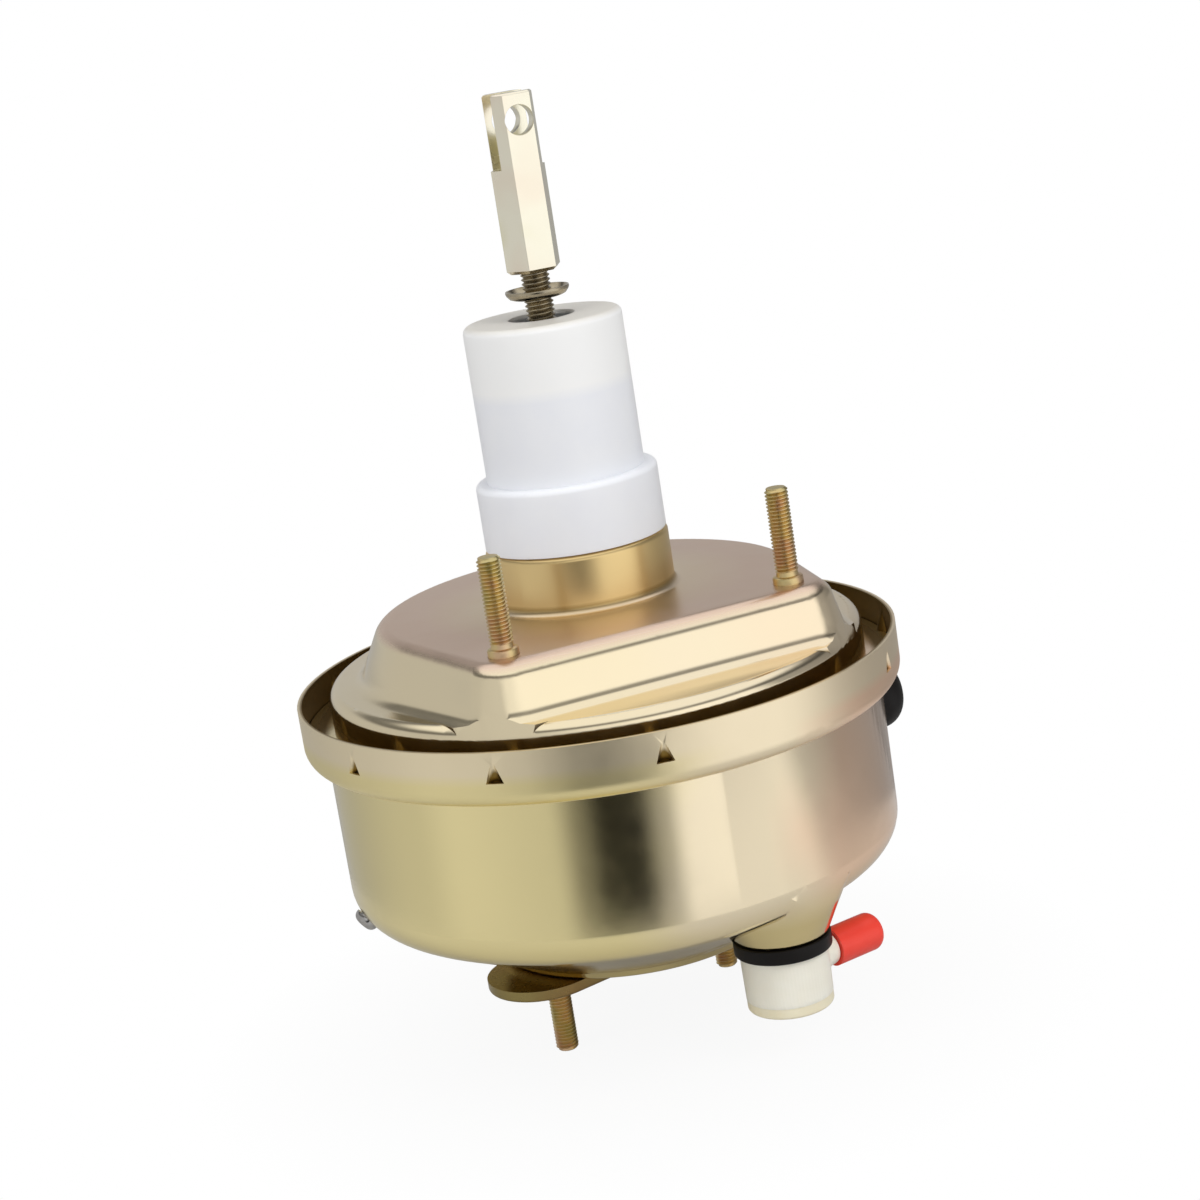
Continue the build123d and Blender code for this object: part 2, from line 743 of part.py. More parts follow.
plunger_waist = 6.0
with BuildPart() as retaining_key:
    with BuildSketch(Plane.XY.offset(key_foot)):
        with Locations((hub_r / 2, 0)):
            Rectangle(hub_r, key_width)
        Circle(plunger_waist + free_gap, mode=Mode.SUBTRACT)
        with Locations((-hub_r / 4, 0)):
            Rectangle(hub_r / 2, 2 * key_width, mode=Mode.SUBTRACT)
    extrude(amount=key_top - key_foot)
retaining_key.part.label = "retaining_key"

poppet_top = 22.0
poppet_lip = 3.0
poppet_bead = 4.0
poppet_mouth_r = plunger_bore + 0.5
poppet_bore = plunger_bore + 1.6
poppet_r = plunger_bore + 3.0
poppet_valve = turned([
    (poppet_mouth_r, plunger_seat), (tube_bore - poppet_lip, plunger_seat),
    (tube_bore - poppet_lip, plunger_seat + poppet_lip), (poppet_r, plunger_seat + poppet_lip),
    (poppet_r, poppet_top - poppet_bead), (tube_bore - press_gap, poppet_top - poppet_bead),
    (tube_bore - press_gap, poppet_top), (poppet_bore, poppet_top),
    (poppet_bore, plunger_seat + poppet_lip), (poppet_mouth_r, plunger_seat + poppet_lip),
])
poppet_valve.part.label = "poppet_valve"

retainer_height = 2.0
retainer_top = poppet_top + retainer_height
poppet_retainer = ring(plunger_bore + 1, tube_bore - press_gap, poppet_top, retainer_top)
poppet_retainer.part.label = "poppet_retainer"

poppet_spring_r = plunger_bore + 4.6
poppet_wire_r = 0.5
poppet_turns = 4.0
poppet_spring = coil(
    poppet_spring_r, poppet_wire_r, plunger_seat + poppet_lip, poppet_top - poppet_bead, poppet_turns
)
poppet_spring.part.label = "poppet_spring"

silencer_foot = 50.0
silencer_top = 54.0
silencer_bore = rod_r + 3.5
silencer = ring(silencer_bore, tube_bore - press_gap, silencer_foot, silencer_top)
silencer.part.label = "silencer"

filter_top = 68.0
filter_bore = rod_r + 4.0
air_filter = ring(filter_bore, tube_bore - press_gap, silencer_top, filter_top)
air_filter.part.label = "air_filter"

return_spring = coil(spring_mean_r, spring_wire_r, nose_z + sheet, hub_foot, spring_turns)
return_spring.part.label = "return_spring"

# ---- plunger with the crimped socket of the rod's ball ----
plunger_gap = 3.0
plunger_foot = ratio_top + plunger_gap
socket_r = ball_r + press_gap
lip_r = 5.3
lip_rise = 4.5
lip_foot = ball_z + lip_rise
groove_foot = key_foot - 1.0
groove_top = key_top + plunger_travel + free_gap
with BuildPart() as valve_plunger:
    with BuildSketch(Plane.XY.offset(plunger_foot)):
        Circle(plunger_bore - running_gap)
    extrude(amount=plunger_seat - plunger_foot)
    # groove that the key rides in, long enough for the travel
    with BuildSketch(Plane.XZ):
        with Locations((plunger_bore, (groove_foot + groove_top) / 2)):
            Rectangle(2 * (plunger_bore - plunger_waist), groove_top - groove_foot)
    revolve(axis=Axis.Z, mode=Mode.SUBTRACT)
    with Locations((0, 0, ball_z)):
        Sphere(socket_r, mode=Mode.SUBTRACT)
    with BuildSketch(Plane.XY.offset(lip_foot)):
        Circle(lip_r)
    extrude(amount=plunger_seat - lip_foot, mode=Mode.SUBTRACT)
valve_plunger.part.label = "valve_plunger"

# ---- input rod, its return spring and the push-on washer ----
rod_shoulder = 46.0
shoulder_step = 2.2
shoulder_height = 2.0
with BuildPart() as input_rod:
    with Locations((0, 0, ball_z)):
        Sphere(ball_r)
    with BuildSketch(Plane.XY.offset(ball_z)):
        Circle(ball_neck_r)
    extrude(amount=ball_neck)
    with BuildSketch():
        Circle(rod_r)
    extrude(amount=rod_top)
    with BuildSketch(Plane.XY.offset(rod_shoulder)):
        Circle(rod_r + shoulder_step)
    extrude(amount=shoulder_height)
input_rod.part.label = "input_rod"

rod_spring_r = plunger_bore - 2.0
rod_wire_r = 0.7
rod_spring_turns = 5.0
rod_return_spring = coil(rod_spring_r, rod_wire_r, retainer_top, rod_shoulder, rod_spring_turns)
rod_return_spring.part.label = "rod_return_spring"

with BuildPart() as rod_washer:
    with BuildSketch(Plane.XZ):
        with BuildLine():
            Polyline(
                (rod_r + running_gap, washer_foot), (washer_r - 1.5, washer_foot),
                (washer_r, washer_foot + washer_dish), (washer_r, washer_foot + washer_dish + washer_sheet),
                (washer_r - 2.0, washer_foot + washer_rise), (rod_r + running_gap, washer_foot + washer_rise),
                close=True,
            )
        make_face()
    revolve(axis=Axis.Z)
rod_washer.part.label = "rod_washer"

# ---- clevis: hexagonal bar, slotted and cross-drilled ----
with BuildPart() as clevis:
    with BuildSketch(Plane.XY.offset(clevis_foot)):
        RegularPolygon(radius=clevis_flats / 2, side_count=6, major_radius=False)
    extrude(amount=clevis_top - clevis_foot)
    chamfer(clevis.faces().sort_by(Axis.Z)[0].edges(), clevis_foot_chamfer)
    chamfer(clevis.faces().sort_by(Axis.Z)[-1].edges(), clevis_top_chamfer)
    with BuildSketch(Plane.XY.offset(clevis_foot)):
        Circle(rod_r + running_gap)
    extrude(amount=clevis_bore_end - clevis_foot, mode=Mode.SUBTRACT)
    with BuildSketch(Plane.XY.offset(clevis_slot_foot)):
        Rectangle(2 * clevis_flats, clevis_slot)
    extrude(amount=clevis_top - clevis_slot_foot, mode=Mode.SUBTRACT)
    with BuildSketch(Plane.XZ.offset(-clevis_flats)):
        with Locations((0, clevis_hole_z)):
            Circle(clevis_hole_r)
    extrude(amount=2 * clevis_flats, mode=Mode.SUBTRACT)
clevis.part.label = "clevis"

# ---- transit cap over the valve body's tail ----
collar_inner = spigot_r + running_gap
cap_inner = cap_tube_r - cap_wall
with BuildPart() as transit_cap:
    with BuildSketch(Plane.XZ):
        with BuildLine():
            Line((collar_inner, cap_foot), (cap_collar_r, cap_foot))
            Line((cap_collar_r, cap_foot), (cap_collar_r, cap_shoulder - collar_edge))
            RadiusArc(
                (cap_collar_r, cap_shoulder - collar_edge), (cap_collar_r - collar_edge, cap_shoulder),
                -collar_edge,
            )
            Line((cap_collar_r - collar_edge, cap_shoulder), (cap_tube_r, cap_shoulder))
            Line((cap_tube_r, cap_shoulder), (cap_tube_r, cap_top - cap_edge))
            RadiusArc((cap_tube_r, cap_top - cap_edge), (cap_tube_r - cap_edge, cap_top), -cap_edge)
            Polyline(
                (cap_tube_r - cap_edge, cap_top), (cap_hole, cap_top), (cap_hole, cap_top - cap_wall),
                (cap_inner, cap_top - cap_wall), (cap_inner, spigot_top + 0.3),
                (collar_inner, spigot_top + 0.3), (collar_inner, cap_foot),
            )
        make_face()
    revolve(axis=Axis.Z)
transit_cap.part.label = "transit_cap"

os.makedirs("parts", exist_ok=True)
pieces = (
    front_shell, rear_shell, master_cylinder_plate, front_studs, rear_studs, rear_seal,
    seal_bearing_ring, output_rod_seal, check_valve_grommet, check_valve_body, check_valve_cover,
    check_valve_disc, check_valve_spring, nipple_cap, side_plug, shoulder_button, valve_body,
    diaphragm_plate, diaphragm, diaphragm_retainer, reaction_disc, output_rod, output_rod_tip,
    retaining_key, poppet_valve, poppet_retainer, poppet_spring, silencer, air_filter,
    return_spring, valve_plunger, input_rod, rod_return_spring, rod_washer, clevis, transit_cap,
)
for piece in pieces:
    export_step(piece.part, "parts/" + piece.part.label + ".step")
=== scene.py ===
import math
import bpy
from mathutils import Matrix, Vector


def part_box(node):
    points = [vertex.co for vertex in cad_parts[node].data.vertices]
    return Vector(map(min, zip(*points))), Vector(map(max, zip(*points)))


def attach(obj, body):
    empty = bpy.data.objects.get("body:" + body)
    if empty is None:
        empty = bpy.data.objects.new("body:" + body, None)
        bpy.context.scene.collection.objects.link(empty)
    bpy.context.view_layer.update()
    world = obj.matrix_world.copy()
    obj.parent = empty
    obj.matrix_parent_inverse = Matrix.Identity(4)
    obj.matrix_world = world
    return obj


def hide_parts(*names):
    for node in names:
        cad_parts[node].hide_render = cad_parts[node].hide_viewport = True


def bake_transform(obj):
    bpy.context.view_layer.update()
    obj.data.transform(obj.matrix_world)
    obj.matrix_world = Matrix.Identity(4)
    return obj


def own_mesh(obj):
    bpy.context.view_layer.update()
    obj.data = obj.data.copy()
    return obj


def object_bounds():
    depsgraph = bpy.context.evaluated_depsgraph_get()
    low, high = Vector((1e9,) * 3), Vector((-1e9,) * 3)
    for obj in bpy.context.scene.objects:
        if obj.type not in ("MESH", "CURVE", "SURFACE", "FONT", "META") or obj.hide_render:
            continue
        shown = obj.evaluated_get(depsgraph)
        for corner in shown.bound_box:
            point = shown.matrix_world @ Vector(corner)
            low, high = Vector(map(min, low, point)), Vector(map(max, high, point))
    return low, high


bl_info = {
    "name": "Vacuum Brake Booster",
    "version": (1, 0, 0),
    "blender": (4, 5, 0),
    "location": "View3D > Sidebar > Booster",
    "description": "Dresses the brake booster's frame with threads, finishes and a small studio",
    "category": "Object",
}

import bmesh
import bpy
from mathutils import Matrix, Vector

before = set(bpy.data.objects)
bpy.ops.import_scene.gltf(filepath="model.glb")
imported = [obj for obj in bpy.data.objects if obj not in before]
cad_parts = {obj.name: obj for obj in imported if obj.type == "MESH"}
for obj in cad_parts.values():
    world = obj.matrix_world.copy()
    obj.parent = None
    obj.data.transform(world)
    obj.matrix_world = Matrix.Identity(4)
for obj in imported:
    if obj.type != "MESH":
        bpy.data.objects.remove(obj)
cad_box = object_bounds()

# ---- sizes: lengths are in millimetres unless a line says metres ----
MM = 0.001
MERGE = 0.002 * MM  # corners nearer than this become one, in metres
SHARP_ANGLE = math.radians(32)  # creases above this stay sharp
PLANE_ANGLE = math.radians(1)  # faces that turn less than this are one plane
BEVEL_ANGLE = math.radians(35)  # edges above this are rounded on a bevelled piece
FLAT_AREA = 12 * MM * MM  # a bevelled piece's larger faces are true planes, in square metres
MIX_RESULT = 2  # the colour output of a mix node

# studs
STUD_R = 4.0
CORE_R = 3.5
SHANK_R = 4.6
COLLAR_R = 5.2
HEAD_R = 7.0
HEAD_EDGE = 0.3
HEAD_THICK = 3.0
REAR_HEAD_Z = -4.5
REAR_THREAD_Z = 4.2
FRONT_FACE_Z = -128.5
FRONT_THREAD_Z = -129.0
FRONT_CORE_Z = -129.6  # where the front core ends, inside the thread
FRONT_STUD_REACH = 41.0
FRONT_LINE = math.radians(20.5)  # the front studs lie on this line through the axis
LEAD_IN = 0.8
CORE_LAP = 0.1  # how far a plain core reaches into its thread
THREAD_DEPTH = 0.58  # as a share of the pitch
THREAD_CREST = (0.42, 0.58)  # where the crest begins and ends along one pitch
THREAD_SIDES = 22
STUD_SIDES = 48

# push rod
ROD_R = 5.0
ROD_THREAD_R = 4.95
ROD_THREAD_Z = 88.0
BALL_R = 6.5
BALL_Z = -20.0
BALL_STEP = 11  # degrees
BALL_END = 143  # degrees, where the ball meets the rod's neck
WASHER_BORE_R = 5.05

# soft borders between the regions of the shells, each from start to end
PLATEAU_Z = (-3.0, -0.8)
NECK_Z = (0.4, 2.2)
NECK_FOOT_Z = (1.2, 3.6)
TIER_Z = (-35.0, -31.0)
TROUGH_Z = (-38.0, -36.0)
CONE_Z = (-106.0, -93.0)
RIM_R = (99.0, 102.0)
TROUGH_INNER_R = (95.5, 97.5)
TROUGH_OUTER_R = (104.3, 104.9)
# where the plateau carries a painted reflection of the neck
NECK_REFLECTION_R = (36.0, 58.0)
# painted shade in the crease where the neck rises from the plateau
NECK_FOOT_PAINTED_SHADE = "8A6A2C"
# and of the transit cap: its painted shade ends over the end of the white tube, and the crown
TUBE_END_Z = (72.0, 76.0)
CROWN_Z = (95.8, 97.4)

# studio
TABLE_R = 0.24  # metres
TABLE_GAP = 0.5  # below the lowest stud
TENT_R = 1.6  # metres
CAMERA_PLACE = (-319.4, -845.5, 215.2)
CAMERA_TARGET = (4.48, -1.72, -4.0)
CAMERA_ROLL = math.radians(-8.9)
CAMERA_SIDE = math.radians(111.0)  # how far the tent is turned so that its ramps centre on the camera
LAMPS = (  # name, place and width in metres, power in watts
    ("key", (0.55, -0.95, 0.9), 0.7, 7.0),
    ("fill", (-1.1, -0.35, 0.5), 0.8, 5.0),
)
# ramps round the tent: 0 and 1 are straight behind the booster, 0.5 is towards the camera
# below the table's level: panels at the left and right, a black gap straight under the camera
LOW_WALL = (
    (0.0, "A8A8A8"), (0.11, "AAAAAA"), (0.25, "C0C0C0"), (0.31, "D2D2D2"), (0.42, "C6C6C6"),
    (0.455, "707070"), (0.475, "202020"), (0.515, "1A1A1A"), (0.545, "A0A0A0"), (0.57, "F4F4F4"),
    (0.71, "FAFAFA"), (0.76, "A8A8A8"), (0.82, "969696"), (0.90, "929292"), (1.0, "A8A8A8"),
)
# above it: a bright panel in front, darker cloth at the right
HIGH_WALL = (
    (0.0, "B4B4B4"), (0.25, "BDBDBD"), (0.42, "CACACA"), (0.50, "EEEEEE"), (0.58, "FFFFFF"),
    (0.67, "FFFFFF"), (0.72, "9A9A9A"), (0.86, "787878"), (0.93, "A4A4A4"), (1.0, "B4B4B4"),
)
# up the tent: a dark seam runs round under the roof panel
SEAM = ((0.0, "FFFFFF"), (0.68, "FFFFFF"), (0.76, "8E8E8E"), (0.80, "8E8E8E"), (0.88, "FFFFFF"))
WALL_CHANGE = (0.46, 0.53)  # heights in the tent, 0 at its foot and 1 at its top
ROOF_START = (0.76, 0.84)
ROOF_GREY = "F4F4F4"
WORLD_LIGHT = 0.6  # the world's strength where it lights the object
TABLE_GREY = "C8C8C8"
TABLE_WHITE = (0.88, 1.0)  # how white the camera sees the table, near the booster and at its edge
TABLE_FADE = (0.5, 0.95)  # where that changes, as shares of the table's radius
TABLE_MIRRORED = 0.12  # the white share that mirrors and clear pieces see of the table


# ---- sizes read from the frame ----
def node_low(node):
    """The lowest corner of a CAD node, as a vector in metres."""
    return Vector(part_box(node)[0])


def node_high(node):
    """The highest corner of a CAD node, as a vector in metres."""
    return Vector(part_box(node)[1])


REAR_STUD_X = (node_high("rear_studs").x - node_low("rear_studs").x) / 2 - HEAD_R * MM
REAR_STUD_Y = (node_high("rear_studs").y + node_low("rear_studs").y) / 2


# ---- shader tools ----
def to_linear(code):
    """An sRGB hex colour as linear red, green, blue and full alpha."""
    channels = [int(code[i:i + 2], 16) / 255 for i in (0, 2, 4)]
    linear = [c / 12.92 if c <= 0.04045 else ((c + 0.055) / 1.055) ** 2.4 for c in channels]
    return (*linear, 1.0)


def add_node(tree, kind, settings=None, sockets=None):
    """Adds one shader node with its settings; a socket takes a value or a (node, output) link."""
    node = tree.nodes.new(kind)
    for key, value in (settings or {}).items():
        setattr(node, key, value)
    for key, value in (sockets or {}).items():
        if isinstance(value, tuple) and isinstance(value[0], bpy.types.Node):
            tree.links.new(value[0].outputs[value[1]], node.inputs[key])
        else:
            node.inputs[key].default_value = value
    return node


def feed(tree, shader, links):
    """Feeds a shader's sockets from (node, output) links."""
    for socket, (node, output) in links.items():
        tree.links.new(node.outputs[output], shader.inputs[socket])


def add_math(tree, operation, first, second, third=None, clamp=False):
    """One sum of numbers or (node, output) links."""
    sockets = {0: first, 1: second}
    if third is not None:
        sockets[2] = third
    return add_node(tree, "ShaderNodeMath", {"operation": operation, "use_clamp": clamp}, sockets)


def add_ramp(tree, factor, stops):
    """A smooth colour ramp with its stops, as (place, hex colour) pairs."""
    node = add_node(tree, "ShaderNodeValToRGB", {}, {"Fac": factor})
    ramp = node.color_ramp
    ramp.interpolation = "EASE"
    while len(ramp.elements) > 1:
        ramp.elements.remove(ramp.elements[-1])
    ramp.elements[0].position = stops[0][0]
    ramp.elements[0].color = to_linear(stops[0][1])
    for place, code in stops[1:]:
        ramp.elements.new(place).color = to_linear(code)
    return node


def new_material(name):
    """A material with a Principled shader, as (material, node tree, shader)."""
    material = bpy.data.materials.new(name)
    material.use_nodes = True
    tree = material.node_tree
    shader = next(node for node in tree.nodes if node.type == "BSDF_PRINCIPLED")
    return material, tree, shader


def bare_material(name):
    """A material without any node, as (material, node tree)."""
    material = bpy.data.materials.new(name)
    material.use_nodes = True
    material.node_tree.nodes.clear()
    return material, material.node_tree


def noise(tree, coords, size_mm, detail=3.0, roughness=0.5):
    """Three-dimensional noise whose grain is size_mm across."""
    return add_node(
        tree, "ShaderNodeTexNoise", {},
        {"Vector": coords, "Scale": 1.0 / (size_mm * MM), "Detail": detail, "Roughness": roughness},
    )


def streaks(tree, coords, per_metre, detail=2.0):
    """Noise drawn out into lines, with so many grains per metre along x, y and z."""
    stretch = add_node(tree, "ShaderNodeMapping", {}, {"Vector": coords, "Scale": per_metre})
    return add_node(
        tree, "ShaderNodeTexNoise", {}, {"Vector": (stretch, "Vector"), "Scale": 1.0, "Detail": detail}
    )


def relief(tree, pattern, strength, depth_mm, under=None):
    """A bump from a pattern, over another bump if one lies under it."""
    sockets = {"Height": pattern, "Strength": strength, "Distance": depth_mm * MM}
    if under:
        sockets["Normal"] = under
    return add_node(tree, "ShaderNodeBump", {}, sockets)


def spread(tree, source, low, high, start=0.3, end=0.7):
    """Maps a value from start to end onto low to high, clamped at both ends.

    The bulk of a noise lies from 0.3 to 0.7."""
    return add_node(
        tree, "ShaderNodeMapRange", {},
        {"Value": source, "From Min": start, "From Max": end, "To Min": low, "To Max": high},
    )


def border(tree, source, span, low=0.0, high=1.0):
    """A soft border between two regions: low before span and high after it."""
    return spread(tree, source, low, high, span[0] * MM, span[1] * MM)


def mix_colour(tree, factor, first, second, blend="MIX"):
    """Mixes two colours, each a hex code or a (node, output) link."""
    sockets = {0: factor}
    for index, colour in ((6, first), (7, second)):
        sockets[index] = to_linear(colour) if isinstance(colour, str) else colour
    return add_node(tree, "ShaderNodeMix", {"data_type": "RGBA", "blend_type": blend}, sockets)


# ---- finishes ----
def chromated_zinc(name, pale, green, pink, roughness, drift_mm=55.0):
    """Yellow passivated zinc plate: a thin iridescent film that drifts between straw, green and rose."""
    material, tree, shader = new_material(name)
    coords = (add_node(tree, "ShaderNodeTexCoord"), "Object")
    drift = noise(tree, coords, drift_mm, 2.0, 0.4)
    film = add_ramp(tree, (drift, "Fac"), ((0.34, green), (0.50, pale), (0.66, pink)))
    handling = noise(tree, coords, 14.0, 4.0, 0.6)
    rough = spread(tree, (handling, "Fac"), roughness - 0.03, roughness + 0.05)
    grain = noise(tree, coords, 1.6, 2.0, 0.5)
    bump = relief(tree, (grain, "Fac"), 0.03, 0.05)
    feed(tree, shader, {
        "Base Color": (film, "Color"), "Roughness": (rough, "Result"), "Normal": (bump, "Normal"),
    })
    shader.inputs["Metallic"].default_value = 1.0
    return material


def shell_zinc(props):
    """The shells' zinc.

    Its film drifts from straw green to rose round the body. It is dull and rosy on the flat plateau,
    deep gold up the drawn neck and brushed on the rolled rim. Painted shade darkens the inside of the
    rim, the foot of the neck and, together with an olive tint of the film, the drawn cone; round the
    neck the plateau carries a painted reflection of it."""
    material, tree, shader = new_material("yellow_zinc_shell")
    coords = (add_node(tree, "ShaderNodeTexCoord"), "Object")
    place = add_node(tree, "ShaderNodeSeparateXYZ", {}, {"Vector": coords})
    level = add_node(
        tree, "ShaderNodeVectorMath", {"operation": "MULTIPLY"}, {0: coords, 1: (1.0, 1.0, 0.0)}
    )
    length = add_node(tree, "ShaderNodeVectorMath", {"operation": "LENGTH"}, {0: (level, "Vector")})
    height, radius = (place, "Z"), (length, "Value")
    flat = border(tree, height, PLATEAU_Z)
    rim = border(tree, radius, RIM_R)

    film = film_round_body(tree, coords, place, props)
    colour = region_colours(tree, height, radius, flat, film, props)
    handling = noise(tree, coords, 14.0, 4.0, 0.6)
    rough = spread(tree, (handling, "Fac"), 0.13, 0.18)
    rough = add_math(tree, "MULTIPLY_ADD", (rim, "Result"), 0.22, (rough, "Result"))
    rough = add_math(tree, "MULTIPLY_ADD", (flat, "Result"), 0.16, (rough, "Value"))
    # rolling marks run round the body: 1 mm lines, drawn coarser than real to show
    lines = streaks(tree, coords, (18.0, 18.0, 900.0), 3.0)
    rolled = relief(tree, (lines, "Fac"), 0.03, 0.05)
    # the rim's rolling tool leaves short upright scores, about 2 mm apart
    scores = streaks(tree, coords, (500.0, 500.0, 20.0))
    depth = add_math(tree, "MULTIPLY", (scores, "Fac"), (rim, "Result"))
    brushed = relief(tree, (depth, "Value"), 0.10, 0.1, (rolled, "Normal"))
    feed(tree, shader, {
        "Base Color": colour, "Roughness": (rough, "Value"), "Normal": (brushed, "Normal"),
    })
    shader.inputs["Metallic"].default_value = 1.0
    return material


def film_round_body(tree, coords, place, props):
    """The shells' film colour by the angle round the axis, with a soft drift, as a link."""
    angle = add_math(tree, "ARCTAN2", (place, "Y"), (place, "X"))
    drift = noise(tree, coords, 60.0, 2.0, 0.4)
    turn = add_math(tree, "MULTIPLY_ADD", (angle, "Value"), 0.5 / math.pi, 0.45)
    around = add_math(tree, "MULTIPLY_ADD", (drift, "Fac"), 0.1, (turn, "Value"))
    film = add_ramp(tree, (around, "Value"), (
        (0.0, props.zinc_green), (0.17, props.zinc_green), (0.24, props.zinc_pale),
        (0.28, props.zinc_pale), (0.32, props.zinc_rose), (0.42, props.zinc_rose),
        (0.55, props.zinc_green), (0.75, props.zinc_rose), (1.0, props.zinc_green),
    ))
    return film, "Color"


def region_colours(tree, height, radius, flat, film, props):
    """Lays the colours of the shells' regions over the film, with painted shade and a painted reflection
    among them, as a link.
    """
    # the plateau keeps the dull skin of the mill, but less of it round the neck, for a painted
    # reflection of the gold neck
    neck_reflection = border(tree, radius, NECK_REFLECTION_R, 0.35, 1.0)
    skin = add_math(tree, "MULTIPLY", (flat, "Result"), (neck_reflection, "Result"))
    neck = border(tree, height, NECK_Z)
    # a band of painted shade at the neck's foot, in the crease where it rises from the plateau
    foot = border(tree, height, NECK_FOOT_Z, 1.0, 0.0)
    shade = add_math(tree, "MULTIPLY", (neck, "Result"), (foot, "Result"))
    # painted shade inside the rolled rim: the trough and the flange in it are darkened
    outer = border(tree, radius, TROUGH_OUTER_R, 1.0, 0.0)
    inner = border(tree, radius, TROUGH_INNER_R)
    inside = add_math(tree, "MULTIPLY", (outer, "Result"), (inner, "Result"))
    above = border(tree, height, TROUGH_Z)
    trough = add_math(tree, "MULTIPLY", (inside, "Value"), (above, "Result"))
    tier = border(tree, height, TIER_Z, 0.0, 0.85)
    # the drawn cone's darker olive is partly the film's tint, partly painted shade on the
    # downward-facing cone
    cone = border(tree, height, CONE_Z, 0.85, 0.0)
    layers = (
        ((tier, "Result"), props.zinc_pale),  # the raised tier is paler than the body
        ((cone, "Result"), props.cone_olive_shade),
        ((skin, "Value"), props.plateau_rose),
        ((neck, "Result"), props.neck_gold),
        ((shade, "Value"), NECK_FOOT_PAINTED_SHADE),
        # painted shade in the rim's trough
        ((trough, "Value"), props.trough_painted_shade),
    )
    colour = film
    for mask, paint in layers:
        colour = (mix_colour(tree, mask, colour, paint), MIX_RESULT)
    return colour


def moulded(name, colour, shade, roughness, subsurface=0.0, flow_mm=8.0, bump=0.06, specular=0.5):
    """Moulded plastic or rubber: an even colour with faint flow marks and a fine skin."""
    material, tree, shader = new_material(name)
    coords = (add_node(tree, "ShaderNodeTexCoord"), "Object")
    flow = noise(tree, coords, flow_mm, 3.0, 0.5)
    tint = mix_colour(tree, (flow, "Fac"), colour, shade)
    rough = spread(tree, (flow, "Fac"), roughness - 0.05, roughness + 0.06)
    skin = noise(tree, coords, 0.7, 2.0, 0.5)
    grain = relief(tree, (skin, "Fac"), bump, 0.1)
    feed(tree, shader, {
        "Base Color": (tint, MIX_RESULT), "Roughness": (rough, "Result"), "Normal": (grain, "Normal"),
    })
    shader.inputs["Specular IOR Level"].default_value = specular
    shader.inputs["Subsurface Weight"].default_value = subsurface
    shader.inputs["Subsurface Radius"].default_value = (1.0, 0.9, 0.8)
    shader.inputs["Subsurface Scale"].default_value = 0.002
    return material


def milky_polyethylene(props):
    """Thin natural polyethylene: milky, with a faintly blue painted shade where it lies close over the
    white tube.
    """
    material, tree, shader = new_material("milky_polyethylene")
    coords = (add_node(tree, "ShaderNodeTexCoord"), "Object")
    place = add_node(tree, "ShaderNodeSeparateXYZ", {}, {"Vector": coords})
    # painted shade where the white tube lies behind the cap, up to the tube's end
    empty = border(tree, (place, "Z"), TUBE_END_Z)
    flow = noise(tree, coords, 12.0, 3.0, 0.5)
    cloud = spread(tree, (flow, "Fac"), 0.0, 0.25)
    body = mix_colour(tree, (empty, "Result"), props.cap_tube_shade, props.cap_white)
    cloudy = mix_colour(tree, (cloud, "Result"), (body, MIX_RESULT), "F2F3F3")
    crown = border(tree, (place, "Z"), CROWN_Z)
    topped = mix_colour(tree, (crown, "Result"), (cloudy, MIX_RESULT), "DBD7CF")
    feed(tree, shader, {"Base Color": (topped, MIX_RESULT)})
    shader.inputs["Roughness"].default_value = 0.34
    shader.inputs["Subsurface Weight"].default_value = 0.35
    shader.inputs["Subsurface Radius"].default_value = (1.0, 1.0, 1.0)
    shader.inputs["Subsurface Scale"].default_value = 0.004
    return material


def plain_steel(name, colour, roughness):
    """Bare, oiled, tempered or bright-plated steel with drawing marks along its length."""
    material, tree, shader = new_material(name)
    coords = (add_node(tree, "ShaderNodeTexCoord"), "Object")
    drawn = streaks(tree, coords, (900.0, 900.0, 60.0))
    oil = noise(tree, coords, 6.0, 3.0, 0.5)
    tint = mix_colour(tree, (oil, "Fac"), colour, "8A8276")
    rough = spread(tree, (drawn, "Fac"), roughness - 0.06, roughness + 0.08)
    feed(tree, shader, {"Base Color": (tint, MIX_RESULT), "Roughness": (rough, "Result")})
    shader.inputs["Metallic"].default_value = 1.0
    return material


# ---- mesh tools ----
def link_mesh(bm, name, material):
    """Turns a bmesh into an object of the scene."""
    mesh = bpy.data.meshes.new(name)
    bm.to_mesh(mesh)
    bm.free()
    mesh.materials.append(material)
    piece = bpy.data.objects.new(name, mesh)
    bpy.context.scene.collection.objects.link(piece)
    return piece


def finish_mesh(bm, name, material, plane_faces=False):
    """Closes a bmesh into an object with smooth faces and sharp creases; large planes may stay flat."""
    bmesh.ops.remove_doubles(bm, verts=bm.verts, dist=MERGE)
    bmesh.ops.recalc_face_normals(bm, faces=bm.faces)
    for face in bm.faces:
        face.smooth = not plane_faces or face.calc_area() < FLAT_AREA
    for edge in bm.edges:
        edge.smooth = len(edge.link_faces) == 2 and edge.calc_face_angle() < SHARP_ANGLE
    return link_mesh(bm, name, material)


